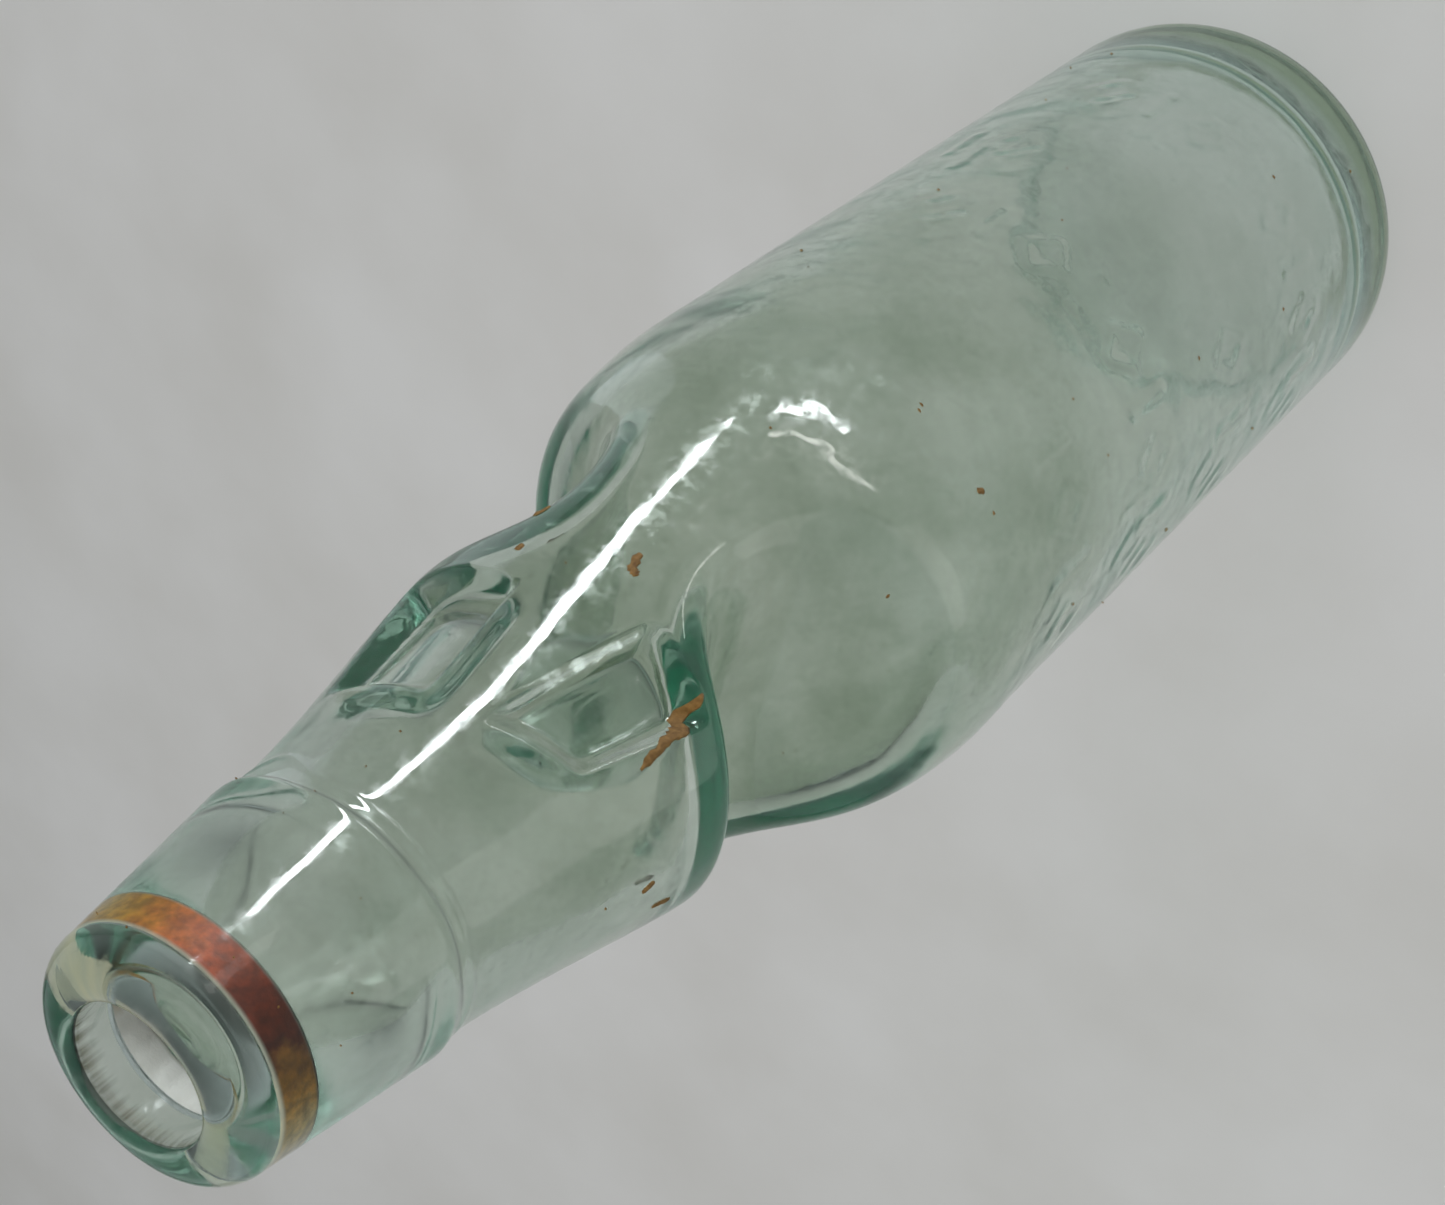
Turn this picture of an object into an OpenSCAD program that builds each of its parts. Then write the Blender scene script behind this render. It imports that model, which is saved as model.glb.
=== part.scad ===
// Marble-stoppered glass soda bottle, standing on its base with the mouth up.
// Origin: centre of the standing ring. +Z runs up the bottle's axis, and the front, between the two lugs,
// faces -Y. The waist is pinched from both sides, at +X and -X.

/* [Bottle] */
// Height from the standing ring to the rim of the mouth
height = 225; // [215:1:240]
// Diameter of the cylindrical body
body_d = 62; // [58:0.5:66]
// Thickness of the blown wall
wall = 4; // [3:0.25:5]
// Radius of the rounded heel
heel_r = 6; // [4:0.5:8]
// Thickness of the glass over the standing ring
base_t = 9; // [7:0.5:11]
// Height of the push-up under the base
kick_h = 4; // [2:0.5:5]

/* [Waist] */
// Height where the shoulder starts to draw in
shoulder_z = 117; // [105:1:120]
// Height of the middle of the pinch
pinch_z = 149.5; // [148:0.5:150]
// Height of each of the two hollows that pinch the waist
pinch_h = 29; // [26:1:30]
// Radius of a hollow's curve, seen from above
pinch_sweep = 45; // [40:1:60]
// Clear gap between the pinched walls, which the marble can't pass
throat = 12; // [9:0.5:12.5]
// Height where the chamber starts to widen into the shoulder at the front and back
waist_z = 153; // [151:1:155]
// Diameter of the waist from front to back
waist_d = 48; // [46:1:50]

/* [Marble chamber] */
// Widest outer diameter of the chamber above the waist
chamber_d = 43; // [42:0.5:45]
// Height up to which the chamber keeps that diameter
chamber_z = 167; // [165:1:168]
// Outer diameter of the neck under the lip
neck_d = 31; // [30:0.5:32]
// Angle of each lug from the front
lug_angle = 31; // [28:1:36]
// Height of the deep end of a lug
lug_z = 173; // [172:0.5:174]
// Length of a lug between the centres of its two ends
lug_len = 9; // [8:0.5:10]
// How far a lug is pressed in at its deep end
lug_depth = 4; // [2.5:0.25:4.5]

/* [Lip] */
// Height of the applied lip
lip_h = 25; // [23:0.5:27]
// Diameter of the lip at its lower edge
collar_d = 32.4; // [31.8:0.1:34]
// Diameter of the lip just under its rounded rim
rim_d = 27; // [26:0.5:29]
// Radius of the rounded rim
rim_r = 3.5; // [2.5:0.25:4]
// Diameter of the bore at the mouth
bore_d = 15; // [14:0.5:15.5]

/* [Sealing ring] */
// Distance from the rim of the mouth down to the middle of the ring
ring_drop = 7.5; // [7:0.25:9]
// Height of the ring
ring_h = 4.6; // [4:0.2:5]
// Outer diameter of the ring, which is the groove's
ring_od = 22; // [21:0.5:22.5]
// Inner diameter of the ring
ring_id = 14.6; // [14:0.2:14.8]

/* [Marble] */
// Diameter of the glass marble
marble_d = 16.5; // [16:0.25:17]
// Gap between the marble and what it rests on
marble_gap = 0.15; // [0.1:0.05:0.2]

/* [Hidden] */
$fn = 96;

body_r = body_d / 2;
waist_r = waist_d / 2;
chamber_r = chamber_d / 2;
neck_r = neck_d / 2;
bore_r = bore_d / 2;
marble_r = marble_d / 2;
past = 1;                          // how far a cutter runs past the face it cuts

// The lip is put on over the end of the neck, which is narrowed to take it
lip_z = height - lip_h;            // lower edge of the lip
spigot_h = 8;                      // length of neck inside the lip
spigot_r = neck_r - 2;
spigot_z = lip_z + spigot_h;
neck_end_z = lip_z - 2;            // the neck is straight from here up
neck_wall = 4.5;                   // the neck is a little thicker than the body

// Groove and ring
ring_z = height - ring_drop;
groove_top = ring_z + ring_h / 2;
groove_low = ring_z - ring_h / 2;
ring_round = 1;                    // rounding of the ring's inner corners
guide_r = marble_r + 0.75;         // bore that guides the marble to the ring
guide_z = spigot_z + 3;            // the neck's bore narrows to the guide up to here
mouth_round = 2;                   // rounding from the rim into the bore

// Each hollow of the pinch is part of a large ring that lies flat beside the bottle
pinch_r = pinch_h / 2;
pinch_x = throat / 2 + wall + pinch_r;

// Lugs: each is a drop-shaped hollow, deep and wide at its lower end
lug_balls = 3;
lug_low_r = 8.5;
lug_tip_r = 5;
lug_tip_depth = 1.2;

// The push-up is the cap of a ball, and leaves a flat standing ring
stand_r = body_r - heel_r - 3;
kick_r = (stand_r * stand_r + kick_h * kick_h) / (2 * kick_h);

// Inside of the base: a low dome over the push-up, rounded up into the wall
floor_r = 8;                       // rounding between floor and wall
floor_rise = 3;                    // how far the floor rises towards the middle

// Where the marble rests on the two pinched walls, and where it stops against the ring
ledge_reach = marble_r + marble_gap + pinch_r + wall;
marble_z = pinch_z + sqrt(ledge_reach * ledge_reach - pinch_x * pinch_x);

// Smooth step from 0 to 1 and back to level at both ends
function ease(t) = t * t * (3 - 2 * t);
// Radius at height z on a smooth stretch from radius r0 at z0 to radius r1 at z1
function drawn(z, z0, r0, z1, r1) = r0 + (r1 - r0) * ease((z - z0) / (z1 - z0));
// Outer radius of the body before the pinch and the lugs
function outer_r(z) =
    z < shoulder_z ? body_r :
    z < waist_z ? drawn(z, shoulder_z, body_r, waist_z, waist_r) :
    z < chamber_z ? drawn(z, waist_z, waist_r, chamber_z, chamber_r) :
    z < neck_end_z ? drawn(z, chamber_z, chamber_r, neck_end_z, neck_r) :
    neck_r;
// Thickness of the wall, which grows a little up the neck
function wall_at(z) = z < chamber_z ? wall : drawn(z, chamber_z, wall, neck_end_z, neck_wall);
// Points on an arc about [x, z] from angle a0 to angle a1
function arc(x, z, r, a0, a1, steps = 8) =
    [for (i = [0:steps]) let (a = a0 + (a1 - a0) * i / steps) [x + r * cos(a), z + r * sin(a)]];
// Heights at which the drawn part of the profile takes a point
step_z = 3;
drawn_z = [for (z = [shoulder_z:step_z:neck_end_z - step_z / 2]) z];

// The hollow of a lug: a row of balls that shrink and come out of the glass towards its tip
module drop(extra) {
    for (i = [0:lug_balls - 1]) {
        along = i / (lug_balls - 1);
        ball_r = lug_low_r + (lug_tip_r - lug_low_r) * along;
        depth = lug_depth + (lug_tip_depth - lug_depth) * along;
        ball_z = lug_z + lug_len * along;
        translate([outer_r(ball_z) + ball_r - depth, 0, ball_z]) sphere(ball_r + extra);
    }
}

// The hollows pressed into the glass from outside: the two sides of the pinch and the two lugs.
// With the wall's thickness as extra, they are what the inside has to stay clear of.
module pressings(extra) {
    for (side = [-1, 1])
        translate([side * (pinch_x + pinch_sweep - pinch_r), 0, pinch_z])
            rotate_extrude() translate([pinch_sweep - pinch_r, 0]) circle(pinch_r + extra);
    for (side = [-1, 1])
        rotate([0, 0, -90 + side * lug_angle]) drop(extra);
}

module outside() {
    difference() {
        rotate_extrude() polygon(concat(
            [[0, 0]],
            arc(body_r - heel_r, heel_r, heel_r, -90, 0),
            [for (z = drawn_z) [outer_r(z), z]],
            [[neck_r, neck_end_z], [neck_r, lip_z], [spigot_r, lip_z], [spigot_r, spigot_z], [0, spigot_z]]
        ));
        translate([0, 0, kick_h - kick_r]) sphere(kick_r);
    }
}

module inside() {
    inner_r = body_r - wall;
    bore_end_r = neck_r - neck_wall;
    rotate_extrude() polygon(concat(
        [[0, base_t + floor_rise]],
        arc(inner_r - floor_r, base_t + floor_r, floor_r, -90, 0),
        [for (z = drawn_z) [outer_r(z) - wall_at(z), z]],
        [[bore_end_r, neck_end_z], [bore_end_r, spigot_z + past], [0, spigot_z + past]]
    ));
}

// The blown body: base, pinched waist, marble chamber, lugs and neck
module bottle_body() {
    color([0.62, 0.80, 0.72, 0.6]) difference() {
        outside();
        pressings(0);
        difference() {
            inside();
            pressings(wall);
        }
    }
}

// The separate gather of glass that forms the mouth, with its bore and the groove for the ring
module applied_lip() {
    collar_r = collar_d / 2;
    rim_x = rim_d / 2 - rim_r;
    edge_r = 0.8;
    bore_end_r = neck_r - neck_wall;
    color([0.66, 0.83, 0.76, 0.6]) rotate_extrude() polygon(concat(
        [[spigot_r, lip_z]],
        arc(collar_r - edge_r, lip_z + edge_r, edge_r, -90, 0, 4),
        arc(rim_x, height - rim_r, rim_r, 0, 90),
        arc(bore_r + mouth_round, height - mouth_round, mouth_round, 90, 180),
        [[bore_r, groove_top], [ring_od / 2, groove_top], [ring_od / 2, groove_low]],
        [[guide_r, groove_low], [guide_r, guide_z], [bore_end_r, spigot_z], [spigot_r, spigot_z]]
    ));
}

// The rubber ring that the marble seals against
module sealing_ring() {
    inner_x = ring_id / 2 + ring_round;
    color([0.55, 0.22, 0.10]) rotate_extrude() polygon(concat(
        [[ring_od / 2, groove_low], [ring_od / 2, groove_top]],
        arc(inner_x, groove_top - ring_round, ring_round, 90, 180, 6),
        arc(inner_x, groove_low + ring_round, ring_round, 180, 270, 6)
    ));
}

// The glass marble, resting on the pinched walls
module marble() {
    color([0.55, 0.75, 0.68, 0.8]) translate([0, 0, marble_z]) sphere(marble_r);
}

bottle_body();
applied_lip();
sealing_ring();
marble();
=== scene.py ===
"""Looks for the marble-stoppered glass soda bottle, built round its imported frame.

Shapes are worked out in millimetres in the frame's own axes: +Z up the bottle's axis, the front
between the two lugs facing -Y, and the pinched sides at +X and -X. An angle round the bottle is
measured from the front, and grows towards +X.
"""

import math

import bpy
import numpy as np
from mathutils import Matrix, Vector


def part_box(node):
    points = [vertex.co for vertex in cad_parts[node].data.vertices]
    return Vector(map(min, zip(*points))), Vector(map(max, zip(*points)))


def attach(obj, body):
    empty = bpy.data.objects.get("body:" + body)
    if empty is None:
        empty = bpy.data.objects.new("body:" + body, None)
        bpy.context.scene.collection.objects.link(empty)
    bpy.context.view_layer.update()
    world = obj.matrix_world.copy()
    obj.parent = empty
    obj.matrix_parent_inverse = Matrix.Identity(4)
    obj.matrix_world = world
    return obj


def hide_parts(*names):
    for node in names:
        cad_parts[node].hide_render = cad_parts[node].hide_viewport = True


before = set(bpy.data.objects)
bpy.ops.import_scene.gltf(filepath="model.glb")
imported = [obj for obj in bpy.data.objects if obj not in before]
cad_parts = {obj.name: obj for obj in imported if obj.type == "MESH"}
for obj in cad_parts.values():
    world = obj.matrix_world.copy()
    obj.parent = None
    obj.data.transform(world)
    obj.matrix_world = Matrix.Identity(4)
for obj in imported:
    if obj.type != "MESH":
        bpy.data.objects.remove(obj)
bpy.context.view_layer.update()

MM = 0.001

# ---------------------------------------------------------------- sizes, from the frame

body_low, body_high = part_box("bottle_body")
lip_low, lip_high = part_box("applied_lip")
ring_low, ring_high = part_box("sealing_ring")
ball_low, ball_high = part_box("marble")

HEIGHT = lip_high.z / MM
CAD_R = body_high.x / MM
EMBOSS = 0.18                       # height of the moulded decoration
BODY_R = CAD_R - 0.45               # leaves the decoration and the unevenness inside the frame's box
HEEL_R = 6.0
STAND_WIDE = 3.0                    # width of the flat ring it stands on
KICK_H = 4.0
WALL = 4.0
NECK_WALL = 4.5

SHOULDER_Z = 0.52 * HEIGHT
WAIST_Z = 0.6755 * HEIGHT
WAIST_R = 24.3
CHAMBER_Z = 0.742 * HEIGHT
CHAMBER_R = 21.5
NECK_Z = 0.88 * HEIGHT
NECK_R = 15.5
LIP_Z = lip_low.z / MM
COLLAR_R = lip_high.x / MM
RIM_R = 13.4
RIM_ROUND = 4.0
ROUND_Z = HEIGHT - RIM_ROUND        # the rim's rounding starts here

PINCH_NEAR = 10.0                   # how near the axis the pinched sides come
PINCH_UP = 11.0                     # how far a hollow reaches up from the waist
PINCH_DOWN = 18.0                   # and down
PINCH_TURN = 6.0                    # how far from the waist one reach has become the other
PINCH_SWEEP = 110.0                 # radius of a hollow seen from above
PINCH_BLEND = 6.0                   # how tightly it runs into the glass round it
PINCH_WALL = 3.2                    # thickness of the glass in the pinch, which the marble rests on

BORE_R = 7.5
MOUTH_EDGE = 0.5                    # rounding where the rim turns down into the bore
RING_R = ring_high.x / MM
RING_BOTTOM = ring_low.z / MM
RING_TOP = ring_high.z / MM
GUIDE_R = 9.0                       # bore that guides the marble to the ring
GUIDE_Z = 213.0                     # it widens into the neck's bore below this
NECK_BORE_Z = 200.0                 # and has become the neck's bore here
FLOOR_Z = 9.0
FLOOR_ROUND = 8.0
FLOOR_RISE = 1.5

# The rim's rounding runs over to this angle, in degrees, where the edge of the mouth takes over
RIM_OVER = math.degrees(math.acos((BORE_R + MOUTH_EDGE - (RIM_R - RIM_ROUND)) / (RIM_ROUND - MOUTH_EDGE)))
EDGE_Z = ROUND_Z + (RIM_ROUND - MOUTH_EDGE) * math.sin(math.radians(RIM_OVER))

BALL_R = (ball_high.x - ball_low.x) / 2 / MM
BALL_Z = (ball_high.z + ball_low.z) / 2 / MM

FRONT = math.radians(-31)           # the side the camera looks at, where the mesh is finest
COLUMNS = 256                       # columns of the outside; the inside has half as many
MARKS_LOW, MARKS_HIGH = 30, 112     # heights between which the outside is fine, for the moulded marks
LUGS_LOW, LUGS_HIGH = 158, 188      # and for the lugs
POLE_R = 2.0                        # radius of the smallest ring round a pole


# ---------------------------------------------------------------- curves and blends

def ease(t):
    """Smooth step from 0 to 1, level at both ends."""
    t = np.clip(t, 0, 1)
    return t * t * (3 - 2 * t)


def drawn(z, z0, r0, z1, r1):
    """Radius on a smooth stretch from r0 at z0 to r1 at z1."""
    return r0 + (r1 - r0) * ease((z - z0) / (z1 - z0))


def soft_min(a, b, soft):
    """The smaller of a and b, rounded off where they cross."""
    share = np.clip(0.5 + 0.5 * (b - a) / soft, 0, 1)
    return b + (a - b) * share - soft * share * (1 - share)


def flowing_min(a, b, tight):
    """The smaller of two radii, flowing into each other where they are much the same."""
    return (a**-tight + b**-tight) ** (-1 / tight)


def around(phi, centre):
    """Angle from centre, between -pi and pi."""
    return (phi - centre + np.pi) % (2 * np.pi) - np.pi


def hump(t, width):
    """A smooth bump of height 1 at 0."""
    return np.exp(-((t / width) ** 2))


def wave(phi, z, lobes, lean=0.0, start=0.0):
    """A wave with that many lobes round the bottle, whose phase grows by lean with each unit of z."""
    return np.sin(lobes * phi + lean * z + start)


# ---------------------------------------------------------------- outside of the glass

def stretch(z, start, end):
    """Radius on a smooth stretch between two (height, radius, slope) points."""
    (z0, r0, s0), (z1, r1, s1) = start, end
    length = z1 - z0
    t = np.clip((z - z0) / length, 0, 1)
    return r0 + (r1 - r0) * ease(t) + length * (s0 * t * (1 - t) ** 2 - s1 * t * t * (1 - t))


PROFILE = [                         # height, radius and slope along the front of the bottle
    (SHOULDER_Z, BODY_R, 0), (WAIST_Z, WAIST_R, -0.185), (CHAMBER_Z, CHAMBER_R, -0.19),
    (NECK_Z - 6, NECK_R + 0.85, -0.17), (NECK_Z + 1, NECK_R, -0.02),
]


def turned(z):
    """Radius of the outside as if the bottle were turned, without lip, pinch or lugs."""
    radius = np.where(z < SHOULDER_Z, BODY_R, NECK_R) + 0.0 * z
    for start, end in zip(PROFILE, PROFILE[1:]):
        radius = np.where((z >= start[0]) & (z < end[0]), stretch(z, start, end), radius)
    return radius


def pinch(z, phi, inset=0.0):
    """Radius of the hollow pressed into each side at the waist, nearly flat seen from above.

    Seen from the front it is close to a half circle that runs on outwards. For the inside of the glass,
    inset brings it nearer to the axis by that much and makes it as much larger.
    """
    rise = z - WAIST_Z
    half = PINCH_DOWN + (PINCH_UP - PINCH_DOWN) * ease((rise + PINCH_TURN) / (2 * PINCH_TURN)) + inset
    out = rise / half
    near = PINCH_NEAR - inset + half * (0.5 * out**2 + 0.125 * out**4 + 0.375 * out**6)
    across = np.sqrt(np.sin(phi) ** 2 + 0.02**2)
    flat = near / across
    return flat + flat**2 * np.cos(phi) ** 2 / (2 * PINCH_SWEEP * across)


LUGS = [        # side, then tip, near, far and top corner: degrees from the front, and height
    (-1, (11.5, 184.5), (24, 164), (53, 165.5), (44, 180.5)),
    (1, (8, 185), (12, 169), (60, 167), (48, 186.5)),
]
LUG_DEPTH = 3.6
LUG_END = 1.3                       # how much wider its end wall is than the others
LUG_R = 20.5                        # radius at which its corners are laid out
LUG_WITHIN = 0.9                    # its depth on the inside of the glass, as a share of the outside's


def beyond(x, z, start, end):
    """How far a place on the unrolled glass lies past the line from start to end, towards a lug's middle."""
    (x0, z0), (x1, z1) = start, end
    return ((x1 - x0) * (z - z0) - (z1 - z0) * (x - x0)) / math.hypot(x1 - x0, z1 - z0)


def lug(z, phi, soft, low, high):
    """How deep the two lugs are pressed in.

    Their walls start low millimetres inside the outline and end at high. soft rounds the corners off.
    """
    total = 0
    for side, *corners in LUGS:
        x = LUG_R * side * around(phi, 0)
        tip, near, far, top = [(LUG_R * math.radians(degrees), height) for degrees, height in corners]
        within = (beyond(x, z, top, tip) - low) / (high - low + LUG_END)
        for start, end in ((tip, near), (near, far), (far, top)):
            wall = (beyond(x, z, start, end) - low) / (high - low)
            within = soft_min(within, wall, soft)
        deeper = np.clip((tip[1] - z) / (tip[1] - near[1]), -0.2, 1)
        total = total + LUG_DEPTH * (0.5 + 0.5 * deeper) * ease(within)
    return total


BULGE_Z = 127                       # height of a slight bulge in the shoulder
BULGE_SIDE = math.radians(-121)     # its angle
BULGE_OUT = 0.5                     # and how far it stands out


def handmade(z, phi):
    """The slow unevenness of blown glass, in millimetres, which dies out at the heel."""
    bulge = BULGE_OUT * hump(z - BULGE_Z, 12) * hump(around(phi, BULGE_SIDE), 0.9)
    swell = 0.09 * wave(phi, z, lobes=2, lean=0.02, start=0.6)
    swell = swell + 0.05 * wave(phi, z, lobes=3, lean=-0.03, start=2.1)
    ripple = 0.012 * wave(phi, z, lobes=5, lean=0.11) * wave(phi, z, lobes=0, lean=0.19, start=1.3)
    above_heel = ease((z - HEEL_R) / 10)
    higher_up = ease((z - 90) / 30)
    return (bulge + (swell + ripple) * higher_up + 0.4 * ripple) * above_heel


LAP_STEP = 0.7                      # height over which the lap steps out from the neck
LAP_EDGE = 0.25                     # how far its lower edge is rounded in
FOLD_H = 0.12                       # how far the fine fold below it stands out
FOLD_SIDE = math.radians(38)        # where the fold wanders off


def lap_z(phi):
    """Height of the uneven edge where the lip laps over the neck."""
    return LIP_Z + 0.35 * np.sin(phi + 0.4) + 0.18 * np.sin(3 * phi + 1.1) + 0.08 * np.sin(8 * phi)


def fold_z(phi):
    """Height of the fine fold below the lap, which wanders off at one side."""
    return lap_z(phi) - 1.7 - 2.2 * hump(around(phi, FOLD_SIDE), 0.35)


def outside(z, phi):
    """Radius of the outside of the glass at height z and angle phi."""
    radius = flowing_min(turned(z), pinch(z, phi), PINCH_BLEND)
    radius = radius - lug(z, phi, soft=0.5, low=-0.4, high=1.7)
    radius = radius + handmade(z, phi)
    taper = (z - LIP_Z) / (ROUND_Z - LIP_Z)
    lip = COLLAR_R + (RIM_R - COLLAR_R) * taper - LAP_EDGE * hump(z - LIP_Z, 0.6)
    over = ease((z - lap_z(phi)) / LAP_STEP + 0.5)
    radius = radius + (lip - radius) * over
    radius = radius + FOLD_H * hump(z - fold_z(phi), 0.35) * (1 - over)
    return radius + decoration(z, phi)


# ---------------------------------------------------------------- moulded decoration

STROKE_FOOT = 1.6                             # half the width of a moulded stroke at its foot
STROKE_SIDE = 1.9                             # width in which it would rise to its full height
MARK_HIGH = 4.0                               # half the height of a mark in a band
MARK_WIDE = 2.7                               # half the width of a lozenge
MARK_END = 1.0                                # how far a stroke's foot runs on above and below a mark
BANDS = [                                     # height, first and last angle in degrees, number of marks
    (106.5, -92, -50, 4), (84, -98, 12, 9), (61, -98, -62, 3), (61, 16, 30, 2), (37, -98, 12, 9),
]


def band_marks():
    """Plain bars and lozenges in bands, each a list of strokes (x0, z0, x1, z1) on the unrolled body."""
    marks = []
    for height, first, last, count in BANDS:
        top, bottom = height + MARK_HIGH, height - MARK_HIGH
        for i in range(count):
            x = BODY_R * math.radians(first + (last - first) * i / (count - 1))
            tips = [(x, top), (x + MARK_WIDE, height), (x, bottom), (x - MARK_WIDE, height)]
            bar = [(x, bottom, x, top)]
            lozenge = [(*tips[k], *tips[(k + 1) % 4]) for k in range(4)]
            marks.append(bar if i % 2 else lozenge)
    return marks


MARKS = band_marks()


def decoration(z, phi):
    """Height of the marks in their bands."""
    x = BODY_R * around(phi, 0)
    raised = 0 * x
    for mark in MARKS:
        low = min(min(z0, z1) for x0, z0, x1, z1 in mark)
        high = max(max(z0, z1) for x0, z0, x1, z1 in mark)
        if np.min(z) > high + MARK_END or np.max(z) < low - MARK_END:
            continue
        for x0, z0, x1, z1 in mark:
            length2 = (x1 - x0) ** 2 + (z1 - z0) ** 2
            along = np.clip(((x - x0) * (x1 - x0) + (z - z0) * (z1 - z0)) / length2, 0, 1)
            gap = np.hypot(x - x0 - along * (x1 - x0), z - z0 - along * (z1 - z0))
            raised = np.maximum(raised, ease((STROKE_FOOT - gap) / STROKE_SIDE))
    return EMBOSS * raised


# ---------------------------------------------------------------- inside of the glass

WAVY_Z = 125                        # the height where the inside is wavy most


def wall_at(z):
    """Thickness of the glass, which grows a little up the neck."""
    return np.where(z < CHAMBER_Z, WALL, drawn(z, CHAMBER_Z, WALL, NECK_Z, NECK_WALL))


def inside(z, phi):
    """Radius of the inside of the glass, which is wavy, most of all under the shoulder."""
    radius = flowing_min(turned(z) - wall_at(z), pinch(z, phi, PINCH_WALL), PINCH_BLEND)
    radius = radius - LUG_WITHIN * lug(z, phi, soft=0.8, low=-1.7, high=2.6)
    waves = 0.10 * wave(phi, z, lobes=5, lean=0.30) + 0.07 * wave(phi, z, lobes=9, lean=-0.19, start=1.0)
    above_floor = ease((z - 20) / 20)
    below_lip = ease((195 - z) / 15)
    return radius + waves * above_floor * below_lip * (0.15 + 0.85 * hump(z - WAVY_Z, 24))


# ---------------------------------------------------------------- meshes

def angles(count):
    """Angles of the mesh columns, closest together at the front."""
    even = 2 * np.pi * np.arange(count) / count
    return FRONT + even - 0.4 * np.sin(even)


def ring(radius, z, phi):
    """One ring of points. radius and z are numbers or one value for each angle."""
    radius, z = radius + 0 * phi, z + 0 * phi
    return np.stack([radius * np.sin(phi), -radius * np.cos(phi), z], axis=1)


def ring_on(surface, z, phi):
    """The ring at height z on a surface, given as a function of height and angle."""
    return ring(surface(z + 0 * phi, phi), z, phi)


def steps(z0, z1, step):
    """Evenly spaced heights from z0 up or down to, but not including, z1."""
    count = max(1, round(abs(z1 - z0) / step))
    return z0 + (z1 - z0) * np.arange(count) / count


def arc(r, z, radius, a0, a1, count):
    """Points on an arc about (r, z), from angle a0 to a1 in degrees."""
    turn = np.radians(np.linspace(a0, a1, count))
    return list(zip(r + radius * np.cos(turn), z + radius * np.sin(turn)))


def rounded(corners, fillet, count=3):
    """A line through corners (r, z), with each inner corner rounded off."""
    points = [np.array(corners[0], float)]
    for before, here, after in zip(corners, corners[1:], corners[2:]):
        here = np.array(here, float)
        back = np.array(before, float) - here
        on = np.array(after, float) - here
        reach = min(fillet, 0.45 * np.linalg.norm(back), 0.45 * np.linalg.norm(on))
        start = here + back / np.linalg.norm(back) * reach
        end = here + on / np.linalg.norm(on) * reach
        for i in range(count + 1):
            t = i / count
            points.append((1 - t) ** 2 * start + 2 * t * (1 - t) * here + t * t * end)
    points.append(np.array(corners[-1], float))
    return points


def piece_of(name, points, faces):
    """A smoothly shaded piece from points in millimetres and the faces between them."""
    mesh = bpy.data.meshes.new(name)
    mesh.from_pydata([tuple(p) for p in np.array(points) * MM], [], faces)
    mesh.polygons.foreach_set("use_smooth", [True] * len(mesh.polygons))
    piece = bpy.data.objects.new(name, mesh)
    bpy.context.scene.collection.objects.link(piece)
    return piece


def skin_of(name, rings, first, last):
    """A closed piece from rings of points between two poles.

    A ring may have half as many points as the one before it.
    """
    points = [first]
    starts = []
    for r in rings:
        starts.append(len(points))
        points.extend(r)
    points.append(last)
    n = len(rings[0])
    faces = [(0, starts[0] + (j + 1) % n, starts[0] + j) for j in range(n)]
    for a, b, lower, upper in zip(starts, starts[1:], rings, rings[1:]):
        n, m = len(lower), len(upper)
        ratio = n // m
        for j in range(m):
            below = [a + (ratio * j + i) % n for i in range(ratio + 1)]
            faces.append((*below, b + (j + 1) % m, b + j))
    n = len(rings[-1])
    faces += [(starts[-1] + j, starts[-1] + (j + 1) % n, len(points) - 1) for j in range(n)]
    return piece_of(name, points, faces)


# ---------------------------------------------------------------- glass

def base_rings(phi):
    """Rings down the push-up to the ring it stands on, and round the heel."""
    stand = BODY_R - HEEL_R - STAND_WIDE
    ball = (stand**2 + KICK_H**2) / (2 * KICK_H)
    rings = [ring(r, KICK_H - ball + np.sqrt(ball**2 - r**2), phi) for r in np.linspace(POLE_R, stand, 9)]
    rings += [ring(r, z, phi) for r, z in arc(BODY_R - HEEL_R, HEEL_R, HEEL_R, -90, 0, 10)[:-1]]
    return rings


def outer_rings(phi):
    """Rings up the outside to the rim, closest together at the marks, the lugs and the lap."""
    stretches = [                   # from one height to another in steps
        (HEEL_R, MARKS_LOW, 1.3), (MARKS_LOW, MARKS_HIGH, 0.62), (MARKS_HIGH, SHOULDER_Z, 1.7),
        (SHOULDER_Z, LUGS_LOW, 1.2), (LUGS_LOW, LUGS_HIGH, 0.6), (LUGS_HIGH, LIP_Z - 5, 1.0),
        (LIP_Z - 5, LIP_Z + 2, 0.35), (LIP_Z + 2, ROUND_Z, 1.5),
    ]
    return [ring_on(outside, z, phi) for part in stretches for z in steps(*part)]


def mouth_rings(phi):
    """Rings over the rim and round the edge of the mouth into the bore."""
    middle_r = outside(ROUND_Z + 0 * phi, phi) - RIM_ROUND
    rings = [ring(middle_r + r, z, phi) for r, z in arc(0, ROUND_Z, RIM_ROUND, 0, RIM_OVER, 13)]
    edge = arc(BORE_R + MOUTH_EDGE, EDGE_Z, MOUTH_EDGE, RIM_OVER, 180, 6)
    rings += [ring(r, z, phi) for r, z in edge[1:]]
    return rings


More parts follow.
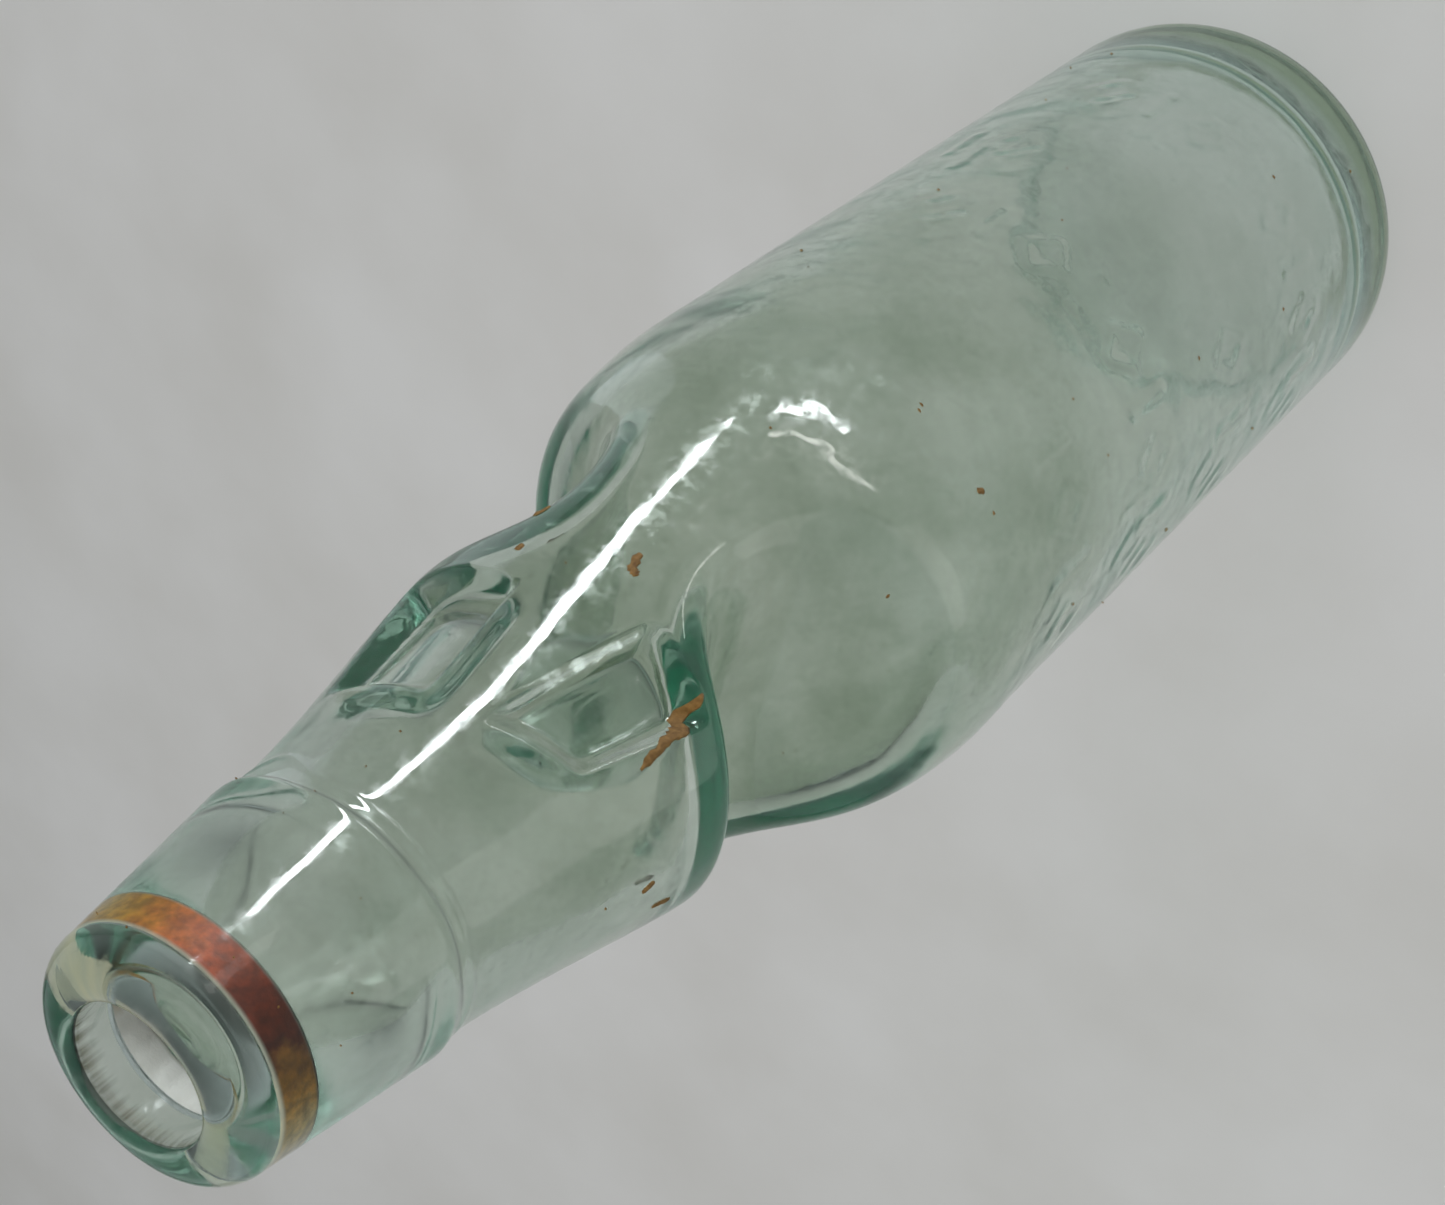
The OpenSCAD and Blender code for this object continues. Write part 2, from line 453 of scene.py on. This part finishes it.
def bore_rings(phi):
    """Rings down the bore, round the groove for the rubber, and down the guide as it widens to the neck."""
    groove = [
        (BORE_R, EDGE_Z - 0.4), (BORE_R, RING_TOP), (RING_R, RING_TOP), (RING_R, RING_BOTTOM),
        (GUIDE_R, RING_BOTTOM), (GUIDE_R, GUIDE_Z),
    ]
    rings = [ring(r, z, phi) for r, z in rounded(groove, fillet=0.5)]
    for z in steps(GUIDE_Z, NECK_BORE_Z, 1.3)[1:]:
        rings.append(ring(drawn(z, NECK_BORE_Z, NECK_R - NECK_WALL, GUIDE_Z, GUIDE_R), z, phi))
    return rings


def inner_rings(phi):
    """Rings down the inside from the neck to the middle of the floor."""
    floor_r, floor_top = BODY_R - WALL - FLOOR_ROUND, FLOOR_Z + FLOOR_ROUND
    stretches = [                   # from one height to another in steps
        (NECK_BORE_Z, LUGS_HIGH - 2, 1.5), (LUGS_HIGH - 2, LUGS_LOW, 1.0), (LUGS_LOW, SHOULDER_Z, 1.6),
        (SHOULDER_Z, floor_top, 3.5),
    ]
    rings = [ring_on(inside, z, phi) for part in stretches for z in steps(*part)]
    rings += [ring(r, z, phi) for r, z in arc(floor_r, floor_top, FLOOR_ROUND, 0, -90, 9)]
    for r in np.linspace(floor_r, POLE_R, 9)[1:]:
        rings.append(ring(r, FLOOR_Z + FLOOR_RISE * (1 - (r / floor_r) ** 2), phi))
    return rings


def make_glass():
    """The blown bottle with its lip fused on: one closed skin, outside and inside."""
    outer, inner = angles(COLUMNS), angles(COLUMNS // 2)
    rings = base_rings(outer) + outer_rings(outer) + mouth_rings(outer)
    rings += bore_rings(inner) + inner_rings(inner)
    return skin_of("blown_glass", rings, (0, 0, KICK_H), (0, 0, FLOOR_Z + FLOOR_RISE))


# ---------------------------------------------------------------- rubber ring and marble

RUBBER_STUCK = 0.05                 # how far the rubber reaches into the glass it is stuck to
RUBBER_GAP = 0.08                   # gap above and below it
RUBBER_INNER = 7.55                 # its inner radius
RUBBER_SHRUNK = 2.6                 # how much wider its hole is at the back, where it has perished
SHRUNK_HALF = math.radians(95)      # half the angle of the shrunken part


def make_ring():
    """The perished rubber ring, worn inside. Its outer face and parts of its top are stuck to the glass."""
    phi = 2 * np.pi * np.arange(160) / 160
    low, high = RING_BOTTOM + RUBBER_GAP, RING_TOP - RUBBER_GAP
    out, inner = RING_R + RUBBER_STUCK, RUBBER_INNER
    start = (9, low)                # a place on the bottom face
    corners = [start, (out, low), (out, high), (inner, high), (inner, low), start]
    loop = rounded(corners, fillet=0.4, count=4)
    back = ease((SHRUNK_HALF - np.abs(around(phi, FRONT + math.pi))) / 0.5)
    rings = []
    for r, z in loop[:-1]:
        worn = 0.10 * wave(phi, z, lobes=5, lean=1) + 0.07 * wave(phi, z, lobes=13, lean=2)
        worn = worn + 0.04 * wave(phi, z, lobes=29)
        inwards = (out - r) / (out - inner)      # 0 at the outer face, 1 at the inner one
        askew = phi + 0.15 * (out - r)           # the patches lean on their way in
        patches = 0.09 * wave(askew, z, lobes=2, start=5.0) + 0.02 * wave(askew, z, lobes=5, start=1.0)
        swollen = patches * (z > high - 0.5) * min(1, 8 * inwards)
        rings.append(ring(r + inwards * (worn + RUBBER_SHRUNK * back), z + swollen, phi))
    count, n = len(rings), len(phi)
    faces = []
    for i in range(count):
        for j in range(n):
            k, m = (i + 1) % count, (j + 1) % n
            faces.append((i * n + j, i * n + m, k * n + m, k * n + j))
    return piece_of("perished_ring", np.concatenate(rings), faces)


def make_marble():
    """The glass marble, moulded a little out of round."""
    phi = 2 * np.pi * np.arange(96) / 96
    ball = BALL_R - 0.04            # leaves room for the unevenness
    rings = []
    for tilt in np.radians(np.linspace(-87, 87, 59)):
        uneven = 0.02 * wave(phi, tilt, lobes=3, lean=4) + 0.015 * wave(phi, tilt, lobes=5, lean=-2)
        rings.append(ring((ball + uneven) * np.cos(tilt), BALL_Z + ball * np.sin(tilt), phi))
    return skin_of("glass_marble", rings, (0, 0, BALL_Z - ball), (0, 0, BALL_Z + ball))


# ---------------------------------------------------------------- residue

FLAKES = [                          # path of (angle in degrees, height), and half its width
    ([(-53, 174.5), (-50.5, 171), (-51, 168), (-46, 164.5)], 0.6),
    ([(-8, 159), (-9.5, 161), (-12, 161.5)], 0.55),
    ([(24, 157), (25.5, 158.5), (27, 158)], 0.45),
    ([(20, 163.8), (20.5, 164.8)], 0.45),
    ([(-90, 175), (-92, 176.5)], 0.5),
    ([(-104, 171.5), (-103, 174)], 0.5),
    ([(-47, 121), (-46, 122)], 0.3),
]
FLAKE_LIFT = 0.02                   # how far the under side of a flake is off the glass
FLAKE_EDGE = 0.03                   # how far its upper side is, at its edges
FLAKE_THICK = 0.16                  # and how much further in its middle
FLAKE_ROUGH = 0.03                  # how much that varies
SPECKS = 70
SPECK_SEED = 7


def lifted(z, phi, lift):
    """A point that far off the outside of the glass."""
    radius = float(outside(np.array([z]), np.array([phi]))[0]) + lift
    return (radius * math.sin(phi), -radius * math.cos(phi), z)


def sheet_faces(count, n):
    """Faces of a closed skin over two sheets of count by n points, the outer one first."""
    faces = []
    for i in range(count - 1):
        for j in range(n - 1):
            a = i * n + j
            b = a + count * n
            faces.append((a, a + 1, a + n + 1, a + n))
            faces.append((b, b + n, b + n + 1, b + 1))
    border = [j for j in range(n)] + [i * n + n - 1 for i in range(1, count)]
    border += [(count - 1) * n + j for j in range(n - 2, -1, -1)] + [i * n for i in range(count - 2, 0, -1)]
    for a, b in zip(border, border[1:] + border[:1]):
        faces.append((b, a, a + count * n, b + count * n))
    return faces


def flake(path, wide, seed, count=22):
    """A thin dry flake along a path of (angle in degrees, height), as points and faces of a closed skin."""
    random = np.random.default_rng(seed)
    across = np.linspace(-1, 1, 7)
    ragged = random.uniform(0.55, 1.15, (count, 2))
    ends = np.sqrt(np.clip(1 - np.linspace(-0.98, 0.98, count) ** 6, 0, 1))
    knots = np.linspace(0, 1, len(path))
    along = np.linspace(0, 1, count)
    angle = np.interp(along, knots, [math.radians(p[0]) for p in path])
    height = np.interp(along, knots, [p[1] for p in path])
    step_x = np.gradient(angle) * outside(height, angle)
    step_z = np.gradient(height)
    length = np.hypot(step_x, step_z)
    points = []
    for outer in (True, False):
        for i in range(count):
            for v in across:
                reach = v * wide * ends[i] * ragged[i, int(v > 0)]
                phi = angle[i] - step_z[i] / length[i] * reach / CHAMBER_R
                z = height[i] + step_x[i] / length[i] * reach
                rise = FLAKE_LIFT
                if outer:
                    thick = FLAKE_THICK + random.uniform(-FLAKE_ROUGH, FLAKE_ROUGH)
                    rise = FLAKE_EDGE + thick * (1 - v * v) * ends[i]
                points.append(lifted(z, phi, rise))
    return points, sheet_faces(count, len(across))


def make_residue():
    """What is left of a dried-on label and dirt: a few ragged flakes and a scatter of specks."""
    flakes = [flake(path, wide, seed) for seed, (path, wide) in enumerate(FLAKES)]
    random = np.random.default_rng(SPECK_SEED)
    for speck in range(SPECKS):
        phi, z = random.uniform(-math.pi, math.pi), random.uniform(12, 222)
        size = random.uniform(0.08, 0.24)
        degrees = math.degrees(phi)
        path = [(degrees, z), (degrees + 0.6 * size, z + size)]
        flakes.append(flake(path, size, seed=100 + speck, count=6))
    points, faces = [], []
    for more, skin in flakes:
        faces += [tuple(k + len(points) for k in face) for face in skin]
        points += more
    return piece_of("dry_residue", points, faces)


# ---------------------------------------------------------------- shader nodes

def new_material(name):
    """An empty node material, its node tree and its output."""
    material = bpy.data.materials.new(name)
    material.use_nodes = True
    tree = material.node_tree
    tree.nodes.clear()
    output = tree.nodes.new("ShaderNodeOutputMaterial")
    return material, tree, output


def wire(tree, value, socket):
    """Link value to a socket, or set the socket to it where it is a plain number or colour."""
    if isinstance(value, bpy.types.NodeSocket):
        tree.links.new(value, socket)
    else:
        socket.default_value = value


def object_place(tree):
    """The place on the piece, in metres in the frame's axes."""
    return tree.nodes.new("ShaderNodeTexCoord").outputs["Object"]


def axes_of(tree, place):
    """The X, Y and Z of a place."""
    node = tree.nodes.new("ShaderNodeSeparateXYZ")
    wire(tree, place, node.inputs["Vector"])
    return node.outputs["X"], node.outputs["Y"], node.outputs["Z"]


def noise(tree, place, scale, detail, roughness=0.5):
    """A value that wanders round the middle of 0 to 1 over the surface."""
    node = tree.nodes.new("ShaderNodeTexNoise")
    node.inputs["Scale"].default_value = scale
    node.inputs["Detail"].default_value = detail
    node.inputs["Roughness"].default_value = roughness
    wire(tree, place, node.inputs["Vector"])
    return node.outputs["Fac"]


def remap(tree, value, low, high, first=0.0, last=1.0):
    """first where value is at low, last where it is at high, in proportion between, and level beyond."""
    node = tree.nodes.new("ShaderNodeMapRange")
    wire(tree, value, node.inputs["Value"])
    node.inputs["From Min"].default_value = low
    node.inputs["From Max"].default_value = high
    node.inputs["To Min"].default_value = first
    node.inputs["To Max"].default_value = last
    return node.outputs["Result"]


def maths(tree, operation, *values, clamp=False):
    """The result of a math node on one to three values."""
    node = tree.nodes.new("ShaderNodeMath")
    node.operation = operation
    node.use_clamp = clamp
    for value, socket in zip(values, node.inputs):
        wire(tree, value, socket)
    return node.outputs["Value"]


def colour_ramp(tree, value, stops):
    """A node that runs through (position, colour) stops."""
    node = tree.nodes.new("ShaderNodeValToRGB")
    spots = node.color_ramp.elements
    spots[0].position, spots[0].color = stops[0]
    spots[1].position, spots[1].color = stops[-1]
    for position, colour in stops[1:-1]:
        spots.new(position).color = colour
    wire(tree, value, node.inputs["Fac"])
    return node


def mixed(tree, share, first, last, kind="RGBA"):
    """first where share is 0, last where it is 1, and a mixture between."""
    node = tree.nodes.new("ShaderNodeMix")
    node.data_type = kind
    wire(tree, share, node.inputs["Factor"])
    wire(tree, first, node.inputs["A"])
    wire(tree, last, node.inputs["B"])
    return node.outputs["Result"]


def principled(tree, colour, roughness):
    """A surface of that colour and roughness."""
    skin = tree.nodes.new("ShaderNodeBsdfPrincipled")
    wire(tree, colour, skin.inputs["Base Color"])
    wire(tree, roughness, skin.inputs["Roughness"])
    return skin


def uneven(tree, skin, height, distance):
    """Make a surface look raised by up to distance metres, as height says."""
    bump = tree.nodes.new("ShaderNodeBump")
    bump.inputs["Distance"].default_value = distance
    wire(tree, height, bump.inputs["Height"])
    wire(tree, bump.outputs["Normal"], skin.inputs["Normal"])


# ---------------------------------------------------------------- materials

GLASS_IOR = 1.5
GLASS_TINT = (0.02, 0.62, 0.45, 1)            # what a long way through the glass leaves of white light
SHADOW_TINT = (0.99, 0.995, 0.99, 1)          # what each face lets through of a lamp's light
SHADOW_SHARE = 0.2                            # how much of the glass's depth colours a lamp's light
# Film on the bottle's glass: partly a real haze, partly painted shade that darkens the whole bottle
FILM_SHADE_DARK = (0.55, 0.62, 0.52, 1)
FILM_SHADE_PALE = (0.79, 0.83, 0.76, 1)
FILM_THIN = (0.9, 0.92, 0.9, 1)               # on the marble
# plain white, no film tint; the bottle's film is lifted towards it near the base and up the neck as painted
# light
PLAIN_WHITE = (1, 1, 1, 1)
GRIME = (0.10, 0.09, 0.05, 1)
# painted shade round the heel, a dark green
HEEL_SHADE = (0.22, 0.31, 0.17, 1)
BLEACHED_EDGE = (0.50, 0.54, 0.46, 1)
RUBBER_BLEACHED = (0.80, 0.84, 0.80)
RUBBER_TONES = [                              # angle from the front in degrees, and colour
    (-160, RUBBER_BLEACHED), (-128, (1.0, 0.92, 0.70)), (-104, (1.0, 0.76, 0.30)),
    (-84, (0.85, 0.42, 0.06)), (-60, (0.14, 0.022, 0.004)), (-34, (0.24, 0.034, 0.008)),
    (-10, (0.66, 0.12, 0.035)), (14, (0.80, 0.22, 0.04)), (36, (0.68, 0.33, 0.03)),
    (62, (0.74, 0.50, 0.12)), (90, (0.42, 0.27, 0.05)), (118, RUBBER_BLEACHED),
]


def film_and_shade(tree, place, radius, height, dark, pale):
    """Colour of the film on the glass: a cloudy haze in the dark and pale colours given, which on the bottle
    also carry painted shade over the whole glass. It goes towards white near the base, painted light that
    offsets the bottle's shadow below it, and a little up the neck, a painted sheen.
    """
    # haze that varies at random, in colours that also carry painted shade
    cloud = noise(tree, place, scale=45, detail=6, roughness=0.65)
    cloudy_and_shaded = colour_ramp(tree, cloud, [(0.38, dark), (0.62, pale)]).outputs["Color"]
    # painted light: the film fades to white near the base, most on the inside, to offset the bottle's shadow
    # on the floor seen through the base
    lift_near_base = remap(tree, height, 10 * MM, 110 * MM, first=1, last=0)
    within = remap(tree, radius, (BODY_R - WALL / 2) * MM, (BODY_R - WALL) * MM, first=0.5)
    # painted sheen: the film pales a little up the neck
    sheen_up_neck = remap(tree, height, 155 * MM, 195 * MM, last=0.3)
    painted_lift = maths(tree, "MAXIMUM", maths(tree, "MULTIPLY", lift_near_base, within), sheen_up_neck)
    return mixed(tree, painted_lift, cloudy_and_shaded, PLAIN_WHITE)


def with_grime(tree, colour, level, radius, height):
    """That colour with dark streaks running down from the edge of the mouth."""
    at_bore = remap(tree, radius, (BORE_R + 0.6) * MM, (BORE_R + 0.2) * MM)
    at_edge = remap(tree, height, (HEIGHT - 3.2) * MM, (HEIGHT - 0.8) * MM)
    contrast, offset = 2.2, -1.45             # they leave only the peaks of the noise
    streaks = maths(tree, "MULTIPLY_ADD", noise(tree, level, scale=1400, detail=3), contrast, offset)
    dirty = maths(tree, "ADD", streaks, at_edge, clamp=True)
    return mixed(tree, maths(tree, "MULTIPLY", dirty, at_bore), colour, GRIME)


def with_heel_shade(tree, colour, place, radius, height):
    """That colour darkened round the heel as painted shade, strongest on the side facing the camera."""
    low = remap(tree, height, 16 * MM, 10 * MM)
    outer = remap(tree, radius, (BODY_R - HEEL_R - 2) * MM, (BODY_R - HEEL_R) * MM)
    facing = tree.nodes.new("ShaderNodeVectorMath")
    facing.operation = "DOT_PRODUCT"
    wire(tree, place, facing.inputs[0])
    wire(tree, (math.sin(FRONT), -math.cos(FRONT), 0), facing.inputs[1])
    toward_camera = remap(tree, facing.outputs["Value"], -0.3 * BODY_R * MM, 0.4 * BODY_R * MM, first=0.12)
    share = maths(tree, "MULTIPLY", maths(tree, "MULTIPLY", low, outer), toward_camera)
    return mixed(tree, share, colour, HEEL_SHADE)


def glass_material(name, density, ripple_height, dark, pale):
    """Pale aqua glass: clear skin with ripples and wear, tinted by its depth, letting lamps through."""
    material, tree, output = new_material(name)
    place = object_place(tree)
    height = axes_of(tree, place)[2]
    level = tree.nodes.new("ShaderNodeVectorMath")
    level.operation = "MULTIPLY"
    wire(tree, place, level.inputs[0])
    wire(tree, (1, 1, 0), level.inputs[1])
    across = tree.nodes.new("ShaderNodeVectorMath")
    across.operation = "LENGTH"
    wire(tree, level.outputs["Vector"], across.inputs[0])
    radius = across.outputs["Value"]

    colour = film_and_shade(tree, place, radius, height, dark, pale)
    colour = with_grime(tree, colour, level.outputs["Vector"], radius, height)
    colour = with_heel_shade(tree, colour, place, radius, height)
    scuffs = noise(tree, place, scale=600, detail=8, roughness=0.7)
    skin = principled(tree, colour, roughness=remap(tree, scuffs, 0.45, 0.70, first=0.02, last=0.26))
    skin.inputs["Transmission Weight"].default_value = 1.0
    skin.inputs["IOR"].default_value = GLASS_IOR
    uneven(tree, skin, noise(tree, place, scale=90, detail=2), ripple_height)

    for_lamps = tree.nodes.new("ShaderNodeLightPath").outputs["Is Shadow Ray"]
    clear = tree.nodes.new("ShaderNodeBsdfTransparent")
    clear.inputs["Color"].default_value = SHADOW_TINT
    either = tree.nodes.new("ShaderNodeMixShader")
    wire(tree, for_lamps, either.inputs["Fac"])
    wire(tree, skin.outputs["BSDF"], either.inputs[1])
    wire(tree, clear.outputs["BSDF"], either.inputs[2])
    wire(tree, either.outputs["Shader"], output.inputs["Surface"])

    depth = tree.nodes.new("ShaderNodeVolumeAbsorption")
    depth.inputs["Color"].default_value = GLASS_TINT
    thinned = maths(tree, "MULTIPLY_ADD", for_lamps, (SHADOW_SHARE - 1) * density, density)
    wire(tree, thinned, depth.inputs["Density"])
    wire(tree, depth.outputs["Volume"], output.inputs["Volume"])
    return material


def rubber_material():
    """Perished rubber: amber, brick and dark brown round the front, pale at the back and along its edges."""
    material, tree, output = new_material("perished_rubber")
    place = object_place(tree)
    x, y, height = axes_of(tree, place)
    patches = noise(tree, place, scale=420, detail=7, roughness=0.6)
    angle = maths(tree, "ARCTAN2", x, maths(tree, "MULTIPLY", y, -1))
    turn = remap(tree, angle, -math.pi, math.pi)
    wander = 0.10                             # how far the patches shift the colours, as a share of a turn
    spread = maths(tree, "MULTIPLY_ADD", patches, wander, turn)
    stops = [(0, (*RUBBER_BLEACHED, 0))]
    for degrees, colour in RUBBER_TONES:
        blotched = 0 if colour == RUBBER_BLEACHED else 1
        average_place = 0.5 + degrees / 360 + wander / 2
        stops.append((average_place, (*colour, blotched)))
    stops.append((1, (*RUBBER_BLEACHED, 0)))
    tone = colour_ramp(tree, spread, stops)
    blotches = remap(tree, noise(tree, place, scale=900, detail=5), 0.35, 0.7, first=0.55, last=1.2)
    strength = mixed(tree, tone.outputs["Alpha"], 1, blotches, kind="FLOAT")
    shade = tree.nodes.new("ShaderNodeVectorMath")
    shade.operation = "SCALE"
    wire(tree, tone.outputs["Color"], shade.inputs[0])
    wire(tree, strength, shade.inputs["Scale"])
    middle, half = (RING_TOP + RING_BOTTOM) / 2, (RING_TOP - RING_BOTTOM) / 2
    off_middle = maths(tree, "ABSOLUTE", maths(tree, "SUBTRACT", height, middle * MM))
    edges = remap(tree, off_middle, (half - 0.55) * MM, (half - 0.2) * MM, last=0.8)
    skin = principled(tree, mixed(tree, edges, shade.outputs["Vector"], BLEACHED_EDGE), roughness=0.5)
    uneven(tree, skin, patches, 0.2 * MM)
    wire(tree, skin.outputs["BSDF"], output.inputs["Surface"])
    return material


def residue_material():
    """Dry, flaky ochre residue."""
    material, tree, output = new_material("dry_residue")
    grain = noise(tree, object_place(tree), scale=1500, detail=5)
    tone = colour_ramp(tree, grain, [(0.3, (0.13, 0.065, 0.016, 1)), (0.7, (0.28, 0.16, 0.05, 1))])
    skin = principled(tree, tone.outputs["Color"], roughness=0.85)
    uneven(tree, skin, grain, 0.2 * MM)
    wire(tree, skin.outputs["BSDF"], output.inputs["Surface"])
    return material


def floor_material():
    """A plain pale floor, faintly mottled."""
    material, tree, output = new_material("pale_floor")
    mottle = noise(tree, object_place(tree), scale=14, detail=6)
    tone = colour_ramp(tree, mottle, [(0.35, (0.60, 0.595, 0.58, 1)), (0.65, (0.66, 0.66, 0.655, 1))])
    skin = principled(tree, tone.outputs["Color"], roughness=0.6)
    wire(tree, skin.outputs["BSDF"], output.inputs["Surface"])
    return material


# ---------------------------------------------------------------- stage, light and camera

MIDDLE = (0, 0, 0.13)                         # the place the lamps are aimed at, in metres
DAYLIGHT = (0.92, 0.97, 1.0)
ROSY = (1.0, 0.93, 0.92)
CREAM = (1.0, 0.97, 0.95)
OLD_WHITE = (1.0, 0.98, 0.95)
COOL = (0.85, 0.95, 1.0)
CARDS = [       # name, low end, high end and the place it faces in millimetres, width, strength, colour
    ("window", (68, -146, 82), (13, -158, 172), (0, -20, 170), 11, 38, DAYLIGHT),
    ("door", (-39, -155, 189), (-48, -152, 173), (0, -12, 219), 22, 1.0, ROSY),
    ("window_foot", (40, -158, 66), (-32, -160, 60), (0, -28, 133), 4.5, 22, DAYLIGHT),
    ("window_sill", (22, -164, 80), (-96, -137, 81), (0, -28, 135), 3, 8, CREAM),
    ("left_wall", (-205, -60, 40), (-205, -50, 142), (0, 0, 180), 160, 0.8, OLD_WHITE),
    ("right_wall", (150, -50, 35), (150, -30, 115), (0, 0, 190), 110, 0.6, COOL),
]


def make_floor():
    """A large plain floor that the bottle stands on."""
    half = 4.0
    corners = [(-half, -half, 0), (half, -half, 0), (half, half, 0), (-half, half, 0)]
    mesh = bpy.data.meshes.new("floor")
    mesh.from_pydata(corners, [], [(0, 1, 2, 3)])
    mesh.materials.append(floor_material())
    floor = bpy.data.objects.new("floor", mesh)
    bpy.context.scene.collection.objects.link(floor)


def make_world():
    """Pale light from all round, dimmer overhead."""
    world = bpy.data.worlds.new("studio")
    world.use_nodes = True
    tree = world.node_tree
    towards = tree.nodes.new("ShaderNodeTexCoord").outputs["Generated"]
    height = axes_of(tree, towards)[2]
    tone = colour_ramp(tree, height, [(0.15, (0.90, 0.95, 1.0, 1)), (0.85, (0.12, 0.14, 0.13, 1))])
    sky = tree.nodes["Background"]
    sky.inputs["Strength"].default_value = 0.40
    wire(tree, tone.outputs["Color"], sky.inputs["Color"])
    bpy.context.scene.world = world


def make_camera():
    """The photograph's view: from above the mouth, down the bottle, rolled so that the bottle lies askew."""
    away = 0.1893
    up = 0.3196
    aim = Vector((0, 0, 0.1336))
    roll = math.radians(128.97)
    place = Vector((away * math.sin(FRONT), -away * math.cos(FRONT), up))
    forward = (aim - place).normalized()
    right = forward.cross(Vector((0, 0, 1))).normalized()
    down = forward.cross(right)
    across = math.cos(roll) * right + math.sin(roll) * down
    upwards = math.sin(roll) * right - math.cos(roll) * down
    lens = bpy.data.cameras.new("camera")
    lens.sensor_width = 36
    lens.lens = 58.31
    lens.clip_start = 0.01
    lens.clip_end = 20
    camera = bpy.data.objects.new("camera", lens)
    axes = Matrix((across, upwards, -forward)).transposed()
    camera.matrix_world = Matrix.Translation(place) @ axes.to_4x4()
    bpy.context.scene.collection.objects.link(camera)
    bpy.context.scene.camera = camera


def area_lamp(name, wide, high, power, colour):
    """A rectangular lamp that isn't seen by the camera or through the glass."""
    lamp = bpy.data.lights.new(name, "AREA")
    lamp.shape = "RECTANGLE"
    lamp.size = wide
    lamp.size_y = high
    lamp.energy = power
    lamp.color = colour
    light = bpy.data.objects.new(name, lamp)
    light.visible_camera = False
    light.visible_transmission = False
    bpy.context.scene.collection.objects.link(light)
    return light


def soft_light(name, place, wide, power, colour):
    """A square lamp at place, aimed at the bottle, which lights things but isn't reflected in the glass."""
    light = area_lamp(name, wide, wide, power, colour)
    light.location = Vector(place)
    light.rotation_mode = "QUATERNION"
    light.rotation_quaternion = (Vector(MIDDLE) - Vector(place)).to_track_quat("-Z", "Y")
    light.data.cycles.use_multiple_importance_sampling = False
    light.visible_glossy = False


def reflected_card(name, low, high, aim, wide, strength, colour):
    """A narrow lit card between two points, which only shows as a reflection in the glass."""
    low, high, aim = Vector(low) * MM, Vector(high) * MM, Vector(aim) * MM
    length = (high - low).length
    along = (high - low).normalized()
    back = ((low + high) / 2 - aim).normalized()
    back = (back - back.dot(along) * along).normalized()
    light = area_lamp(name, wide * MM, length, strength * math.pi * wide * MM * length, colour)
    axes = Matrix((along.cross(back), along, back)).transposed()
    light.matrix_world = Matrix.Translation((low + high) / 2) @ axes.to_4x4()
    light.visible_diffuse = False
    light.visible_volume_scatter = False


def set_up_scene():
    """Plain colours, enough bounces for light to cross the many faces of the glass, and no caustics."""
    scene = bpy.context.scene
    scene.view_settings.view_transform = "Standard"
    scene.cycles.max_bounces = 40
    scene.cycles.transmission_bounces = 28
    scene.cycles.glossy_bounces = 24
    scene.cycles.transparent_max_bounces = 32
    scene.cycles.caustics_reflective = False
    scene.cycles.caustics_refractive = False


# ---------------------------------------------------------------- build

glass = make_glass()
glass.data.materials.append(
    glass_material("aqua_glass", density=15, ripple_height=0.2 * MM, dark=FILM_SHADE_DARK, pale=FILM_SHADE_PALE)
)
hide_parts("bottle_body", "applied_lip")
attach(glass, "bottle")

rubber = make_ring()
rubber.data.materials.append(rubber_material())
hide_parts("sealing_ring")
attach(rubber, "bottle")

marble = make_marble()
marble.data.materials.append(
    glass_material("marble_glass", density=12, ripple_height=0.1 * MM, dark=FILM_THIN, pale=PLAIN_WHITE)
)
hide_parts("marble")
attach(marble, "marble")

residue = make_residue()
residue.data.materials.append(residue_material())
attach(residue, "bottle")

make_floor()
make_world()
make_camera()
soft_light("overhead", (-0.25, 0.35, 1.0), wide=0.9, power=6.2, colour=(1.0, 0.99, 0.97))
soft_light("front", (0.25, -1.1, 0.7), wide=0.7, power=10, colour=(1.0, 1.0, 1.0))
for card in CARDS:
    reflected_card(*card)
set_up_scene()
